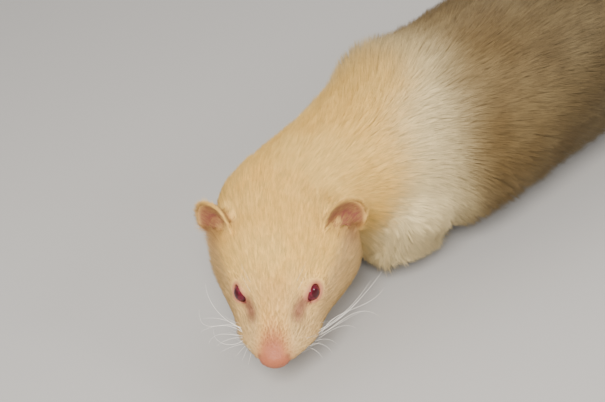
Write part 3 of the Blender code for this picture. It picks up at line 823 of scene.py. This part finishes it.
# Pink of the nose and bridge, a little darkened as painted shade on the nose
SHADED_PINK = (0.35, 0.080, 0.050)
LID = (0.38, 0.10, 0.085)
# Dark red at the front corner of each eye, also painted shade at the nostrils
CORNER_RED = (0.12, 0.012, 0.015)
# Painted shade in the tear grooves, also the pink flush round the eyes
GROOVE_SHADE_AND_FLUSH = (0.30, 0.105, 0.075)
EAR_PINK = (0.25, 0.078, 0.050)


def coat_colour(paint):
    """The markings that skin and coat share, painted shade among them."""
    place = paint.place()
    cloud = paint.noise(place, 24.0, 3.0)
    fine = paint.noise(place, 5.0, 2.0)
    colour = paint.mix((cloud + fine * 0.4).eased(0.55, 0.85), CREAM, YELLOW)
    # Greyer fur of the muzzle and lower head, darkened towards the muzzle as painted shade
    colour = paint.mix(paint.own("pale") * 0.8, colour, PALE_AND_SHADE)
    colour = paint.mix(paint.own("white"), colour, WHITE)
    # The rear's tan, deepening towards the rear: partly coat colour, partly painted cast shadow
    tan_with_shadow = paint.mix(paint.own("dusk"), TAN_AND_SHADOW, REAR_TONE_AND_SHADOW)
    colour = paint.mix(paint.own("tan") * (0.82 + cloud * 0.3), colour, tan_with_shadow)
    # Pink of the nose and bridge, a little darkened as painted shade
    colour = paint.mix(paint.own("pink") * 0.9, colour, SHADED_PINK)
    # Painted shade in the tear grooves, also the pink flush of the skin round the eyes
    colour = paint.mix(paint.own("groove") * 0.80, colour, GROOVE_SHADE_AND_FLUSH)
    colour = paint.mix(paint.own("inner") * 0.70, colour, EAR_PINK)
    return place, colour


def coat_material():
    paint = Paint("coat")
    place, colour = coat_colour(paint)
    strand = paint.own("strand")
    # Each tuft's own tone, darkened towards its root as painted shade between the hairs
    light = 0.62 + strand * 0.42 + paint.own("reach") * 0.16
    colour = paint.mix(1.0, colour, paint.grey(light), "MULTIPLY")
    return paint.shade(
        Base_Color=colour,
        Roughness=0.6,
        Specular_IOR_Level=0.25,
    )


def skin_material():
    paint = Paint("skin")
    place, colour = coat_colour(paint)
    colour = paint.mix(paint.own("inner"), colour, EAR_PINK)
    colour = paint.mix(paint.own("rim"), colour, LID)
    # Dark red at the front corners of the eyes, and painted shade at the nostrils
    colour = paint.mix(paint.own("corner"), colour, CORNER_RED)
    down = paint.noise(place, 0.55, 2.0, 0.6)
    pebbles = paint.cells(place, 0.42)
    bare = paint.own("pink")
    height = down + (pebbles - down) * bare.eased(0.9, 1.0)
    colour = paint.mix(1.0, colour, paint.grey(0.86 + down * 0.28), "MULTIPLY")
    roughness = 0.72 - bare.eased(0.9, 1.0) * 0.30
    return paint.shade(
        Base_Color=colour,
        Roughness=roughness,
        Specular_IOR_Level=0.35,
        Normal=paint.bump(height, 0.6, 0.25),
    )


def eye_material():
    paint = Paint("eye")
    off = paint.own("off_gaze")
    place = paint.place()
    streaks = paint.noise(place, 0.9, 3.0, 0.6)
    iris = paint.mix(streaks.eased(0.35, 0.7), (0.075, 0.003, 0.010), (0.150, 0.008, 0.024))
    colour = paint.mix(off.eased(0.20, 0.30), (0.048, 0.0018, 0.006), iris)
    colour = paint.mix(off.eased(0.42, 0.62), colour, (0.05, 0.002, 0.006))
    colour = paint.mix(off.eased(0.72, 0.85), colour, (0.40, 0.12, 0.11))
    return paint.shade(Base_Color=colour, Roughness=0.07, Specular_IOR_Level=0.28, Coat_Weight=0.3, Coat_Roughness=0.03)


def claw_material():
    paint = Paint("claw")
    place = paint.place()
    growth = paint.noise(place, 1.2, 2.0)
    colour = paint.mix(growth, (0.80, 0.62, 0.50), (0.66, 0.42, 0.34))
    return paint.shade(Base_Color=colour, Roughness=0.32 + growth * 0.12, Normal=paint.bump(growth, 0.2, 0.1))


def whisker_material():
    paint = Paint("whisker")
    place = paint.place()
    tone = paint.noise(place, 3.0)
    colour = paint.mix(tone, (0.95, 0.92, 0.86), (0.85, 0.80, 0.72))
    return paint.shade(Base_Color=colour, Roughness=0.4)


# The camera's place and directions: right, up and back

AZIMUTH, ELEVATION, ROLL = (math.radians(angle) for angle in (58.8, 33.0, 12.5))
FOCAL, WIDTH, HEIGHT = 1050.0, 605.0, 402.0
ANCHOR = np.array((18.187, -236.471, 36.0))  # seen at the pixel below, at this distance
ANCHOR_SEEN = (281.0, 280.0)
ANCHOR_AWAY = 420.0


def view():
    flat = math.cos(ELEVATION)
    back = np.array((math.sin(AZIMUTH) * flat, -math.cos(AZIMUTH) * flat, math.sin(ELEVATION)))
    right = np.array((math.cos(AZIMUTH), math.sin(AZIMUTH), 0.0))
    upward = np.cross(back, right)
    turned_right = right * math.cos(ROLL) - upward * math.sin(ROLL)
    turned_up = right * math.sin(ROLL) + upward * math.cos(ROLL)
    axes = np.array((turned_right, turned_up, back))
    return axes, ANCHOR - sight(axes, ANCHOR_SEEN) * ANCHOR_AWAY


def sight(axes, seen):
    """The way from the camera through a place in the picture, one unit deep."""
    return axes.T @ np.array(((seen[0] - WIDTH / 2) / FOCAL, -(seen[1] - HEIGHT / 2) / FOCAL, -1.0))


VIEW_AXES, CAMERA_PLACE = view()


# Eyes, whiskers and claws


def globe(side):
    """An eyeball whose cornea stands a little proud, marked with the angle from the gaze."""
    work = bmesh.new()
    bmesh.ops.create_uvsphere(work, u_segments=48, v_segments=36, radius=1.0)
    flat = np.array([vert.co for vert in work.verts])
    off = np.arccos(np.clip(flat[:, 2], -1.0, 1.0)) / (0.5 * math.pi)
    radius = EYE_RADIUS + CORNEA * (1.0 - ease(off, 0.0, 0.75))
    points = in_head(EYE_PLACE, side) + (flat * radius[:, None]) @ eye_axes(side)
    for vert, point in zip(work.verts, points):
        vert.co = point * MM
    bmesh.ops.recalc_face_normals(work, faces=work.faces)
    mesh = bpy.data.meshes.new("globe")
    work.to_mesh(mesh)
    work.free()
    mesh.shade_smooth()
    mark(mesh, "off_gaze", off)
    return mesh


def hairs(name, lines, radii, sides=5):
    """Closed tapering tubes along lines of points."""
    points = []
    corners = []
    sizes = []
    start = 0
    for line, radius in zip(lines, radii):
        way = unit(np.gradient(line, axis=0))
        first = unit(np.cross(way, (0.21, 0.13, 0.97)))
        second = np.cross(way, first)
        count = len(line)
        thick = radius * (1.0 - 0.8 * np.linspace(0, 1, count))
        turn = np.arange(sides) * 2 * math.pi / sides
        rings = line[:, None] + thick[:, None, None] * (
            np.cos(turn)[None, :, None] * first[:, None] + np.sin(turn)[None, :, None] * second[:, None]
        )
        points.append(rings.reshape(-1, 3))
        for i in range(count - 1):
            for j in range(sides):
                k = (j + 1) % sides
                low, high = start + i * sides, start + (i + 1) * sides
                corners += [low + j, high + j, high + k, low + k]
                sizes.append(4)
        corners += [start + j for j in range(sides)]
        corners += [start + (count - 1) * sides + j for j in reversed(range(sides))]
        sizes += [sides, sides]
        start += count * sides
    mesh = mesh_of(name, np.concatenate(points), corners, sizes)
    work = bmesh.new()
    work.from_mesh(mesh)
    bmesh.ops.recalc_face_normals(work, faces=work.faces)
    work.to_mesh(mesh)
    work.free()
    return mesh


def skin_tree(skin):
    points = points_of(skin.data)
    return BVHTree.FromPolygons(points.tolist(), triangles_of(skin.data).tolist())


# Whiskers as they are seen, root first, and how fast each goes away from the camera
WHISKERS = (
    (0.30, (321, 331), (347, 312), (366, 293), (384, 270)),
    (0.15, (322, 332), (352, 308), (370, 300), (385, 286)),
    (0.10, (322, 334), (345, 318), (360, 311), (381, 316)),
    (0.05, (319, 338), (338, 327), (349, 325), (357, 328)),
    (0.35, (319, 330), (342, 315), (358, 299), (372, 280)),
    (0.20, (320, 335), (340, 323), (356, 314), (366, 310)),
    (0.30, (318, 333), (336, 321), (350, 310), (362, 297)),
    (0.00, (313, 344), (325, 345), (333, 353)),
    (0.00, (310, 348), (318, 352), (323, 359)),
    (0.00, (316, 341), (328, 339), (338, 344)),
    (0.30, (242, 328), (226, 320), (211, 304), (204, 283)),
    (0.20, (242, 331), (222, 324), (207, 325), (198, 308)),
    (0.15, (242, 332), (224, 325), (209, 327), (200, 331)),
    (0.05, (243, 336), (226, 334), (214, 336), (208, 344)),
    (0.05, (243, 340), (226, 345), (216, 340), (213, 330)),
    (0.00, (244, 344), (231, 347), (219, 353)),
    (0.25, (241, 329), (218, 318), (202, 318)),
    (0.10, (243, 338), (229, 339), (216, 346)),
    (0.00, (247, 349), (242, 361)),
    (0.00, (251, 354), (248, 365)),
    (0.00, (245, 346), (236, 356)),
)


def seen_on(tree, seen):
    """The place on the skin that the camera sees at a place in the picture."""
    way = unit(sight(VIEW_AXES, seen))
    hit, _, _, _ = tree.ray_cast(Vector(CAMERA_PLACE), Vector(way))
    if hit is None:
        hit, _, _, _ = tree.find_nearest(Vector(CAMERA_PLACE + way * ANCHOR_AWAY))
    return np.array(hit)


def whisker(tree, away, seen, count=14):
    """One whisker along a smooth curve through the places at which it is seen."""
    seen = np.array(seen, float)
    along = np.concatenate([[0.0], np.cumsum(np.linalg.norm(np.diff(seen, axis=0), axis=1))])
    at = np.linspace(0.0, along[-1], count)
    curve = np.stack([np.polyval(np.polyfit(along, column, len(along) - 1), at) for column in seen.T], -1)
    root = seen_on(tree, seen[0])
    deep = (CAMERA_PLACE - root) @ VIEW_AXES[2]
    deeper = deep + away * at * deep / FOCAL
    line = np.array([CAMERA_PLACE + sight(VIEW_AXES, place) * depth for place, depth in zip(curve, deeper)])
    return line - (line[1] - line[0]) * 0.3


def bristle(tree, place, way, length, side, count=7):
    """A short fine hair that stands out from the head."""
    back, bearing = place
    start = in_head((back, 0.0, 0.0), side)
    aside = head_way((0.0, math.cos(math.radians(bearing)), math.sin(math.radians(bearing))), side)
    root = np.array(tree.ray_cast(Vector(start), Vector(aside))[0])
    at = np.linspace(0.0, 1.0, count)[:, None]
    return root + head_way(way, side) * length * at + head_way((1.0, 0.2, -0.3), side) * length * 0.3 * at**2


def whisker_lines(tree):
    """All whiskers, bristles and brow hairs, with the radius of each at its root."""
    lines = [whisker(tree, away, seen) for away, *seen in WHISKERS]
    radii = [0.06 + 0.0022 * np.linalg.norm(np.diff(line, axis=0), axis=1).sum() for line in lines]
    draw = np.random.default_rng(17)
    for side in SIDES.values():
        for _ in range(26):
            place = (draw.uniform(4.0, 17.0), draw.uniform(-48.0, 8.0))
            way = (draw.uniform(0.1, 0.7), 1.0, draw.uniform(-0.6, 0.1))
            lines.append(bristle(tree, place, way, draw.uniform(2.5, 7.0), side))
            radii.append(0.045)
        for back, bearing, length in ((23.5, 53.0, 7.0), (26.0, 58.0, 8.0), (36.0, -28.0, 9.0), (37.5, -32.0, 8.0)):
            lines.append(bristle(tree, (back, bearing), (0.8, 0.6, bearing / 80.0), length, side))
            radii.append(0.05)
    return lines, radii


def claws():
    """All the claws, rounder than the solids that they stand for."""
    work = bmesh.new()
    for name in CLAWS:
        part = bmesh.new()
        part.from_mesh(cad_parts[name].data)
        bmesh.ops.remove_doubles(part, verts=part.verts, dist=1e-6)
        bmesh.ops.dissolve_limit(part, angle_limit=math.radians(1.0), verts=part.verts, edges=part.edges)
        shape = bpy.data.meshes.new("claw")
        part.to_mesh(shape)
        part.free()
        work.from_mesh(shape)
        bpy.data.meshes.remove(shape)
    mesh = bpy.data.meshes.new("claws")
    work.to_mesh(mesh)
    work.free()
    piece = new_object("claws", mesh)
    rounder = piece.modifiers.new("rounder", "SUBSURF")
    rounder.levels = 2
    rounder.render_levels = 2
    bake_modifiers(piece)
    piece.data.shade_smooth()
    return piece


def settle(piece, material, slot, *nodes):
    """Give a piece its material and what it stands for, and let it ride on the body. The slot is not used."""
    piece.data.materials.clear()
    piece.data.materials.append(material)
    if nodes:
        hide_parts(*nodes)
    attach(piece, "root")


# Assembly

EYE_RADIUS = 4.4
CORNEA = 0.35
CLAWS = [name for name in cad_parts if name.startswith("claw_")]

skin = fused_flesh()
fur = groom(skin)
triangles = triangles_of(skin.data)
skin.data.shade_smooth()
settle(skin, skin_material(), "coat", *FLESH)

back_of = head_places(fur["points"][triangles].mean(1))[:, 0]
left_of = head_places(fur["points"][triangles].mean(1))[:, 1]
along_of = fur["along"][triangles].mean(1)
node_of = fur["nodes"][triangles[:, 0]]
limb_of = (np.char.find(node_of, "leg") >= 0) | (np.char.find(node_of, "paw") >= 0)
fore_of = limb_of & np.char.startswith(node_of, "fore")
ear_of = np.char.startswith(node_of, "ear")
body_of = ~limb_of & ~ear_of
STRETCHES = (
    ("muzzle", 0, 20),
    ("face", 20, 38),
    ("crown", 38, 64),
    ("neck", 64, 100),
    ("withers", 100, 130),
    ("shoulders", 130, 165),
    ("ribs", 165, 230),
    ("loins", 230, 300),
    ("haunches", 300, 375),
    ("tail", 375, 999),
)
coat = coat_material()
total = 0
regions = {"coat_ears": ear_of, "coat_forelegs": fore_of, "coat_hindlegs": limb_of & ~fore_of}
for word, start, end in STRETCHES:
    stretch = body_of & (along_of >= start) & (along_of < end)
    if word in ("face", "crown"):
        regions[f"coat_{word}_left"] = stretch & (left_of > 0)
        regions[f"coat_{word}_right"] = stretch & (left_of <= 0)
    else:
        regions[f"coat_{word}"] = stretch
SHORT = ("coat_ears", "coat_muzzle", "coat_face_left", "coat_face_right", "coat_crown_left", "coat_crown_right")
for name, chosen in regions.items():
    lit, gather, contrast = EAR_COAT if name == "coat_ears" else HEAD_COAT if name in SHORT else BODY_COAT
    piece = tufts(name, fur, triangles, chosen, lit, gather, contrast, name == "coat_tail")
    settle(piece, coat, "coat")
    total += len(piece.data.polygons)
    print(name, len(piece.data.polygons))
print("coat", total, "skin", len(triangles))

globe_material = eye_material()
for word, side in SIDES.items():
    settle(new_object(f"globe_{word}", globe(side)), globe_material, "eye", f"eye_{word}")
tree = skin_tree(skin)
settle(new_object("whiskers", hairs("whiskers", *whisker_lines(tree))), whisker_material(), "coat")
settle(claws(), claw_material(), "claw", *CLAWS)


# Floor, camera and light


def plain_floor():
    mesh = bpy.data.meshes.new("floor")
    work = bmesh.new()
    bmesh.ops.create_grid(work, x_segments=1, y_segments=1, size=4.0)
    work.to_mesh(mesh)
    work.free()
    floor = new_object("floor", mesh)
    paint = Paint("floor")
    floor.data.materials.append(paint.shade(Base_Color=(0.42, 0.41, 0.40), Roughness=0.9))


def place_camera():
    """The camera looks down on the head from in front and to its left, rolled so that the body climbs."""
    data = bpy.data.cameras.new("camera")
    data.sensor_width = 36.0
    data.lens = 36.0 * FOCAL / WIDTH
    data.clip_start = 0.01
    camera = new_object("camera", data)
    axes = Matrix(VIEW_AXES.T.tolist()).to_4x4()
    camera.matrix_world = Matrix.Translation(Vector(CAMERA_PLACE * MM)) @ axes
    bpy.context.scene.camera = camera


def lamp(name, place, aim, size, power, colour):
    data = bpy.data.lights.new(name, "AREA")
    data.shape = "DISK"
    data.size = size
    data.energy = power
    data.color = colour
    light = new_object(name, data)
    light.location = Vector(place)
    light.rotation_euler = (Vector(aim) - Vector(place)).to_track_quat("-Z", "Y").to_euler()


def studio():
    world = bpy.data.worlds.new("studio")
    world.use_nodes = True
    world.node_tree.nodes["Background"].inputs["Color"].default_value = (1.0, 0.97, 0.92, 1.0)
    world.node_tree.nodes["Background"].inputs["Strength"].default_value = 0.58
    bpy.context.scene.world = world
    aim = (0.0, -0.20, 0.04)
    lamp("key", (0.58, -0.66, 0.76), aim, 0.5, 18.5, (1.0, 0.96, 0.90))
    lamp("fill", (-0.2, -0.9, 0.9), aim, 0.9, 2.0, (1.0, 0.97, 0.93))
    lamp("back", (-0.5, 0.8, 0.9), (0.0, 0.05, 0.05), 0.9, 6.0, (1.0, 0.98, 0.96))
    lamp("glint", (0.72, 0.26, 0.56), in_head(EYE_PLACE) * MM, 0.2, 2.2, (1.0, 1.0, 1.0))


plain_floor()
place_camera()
studio()
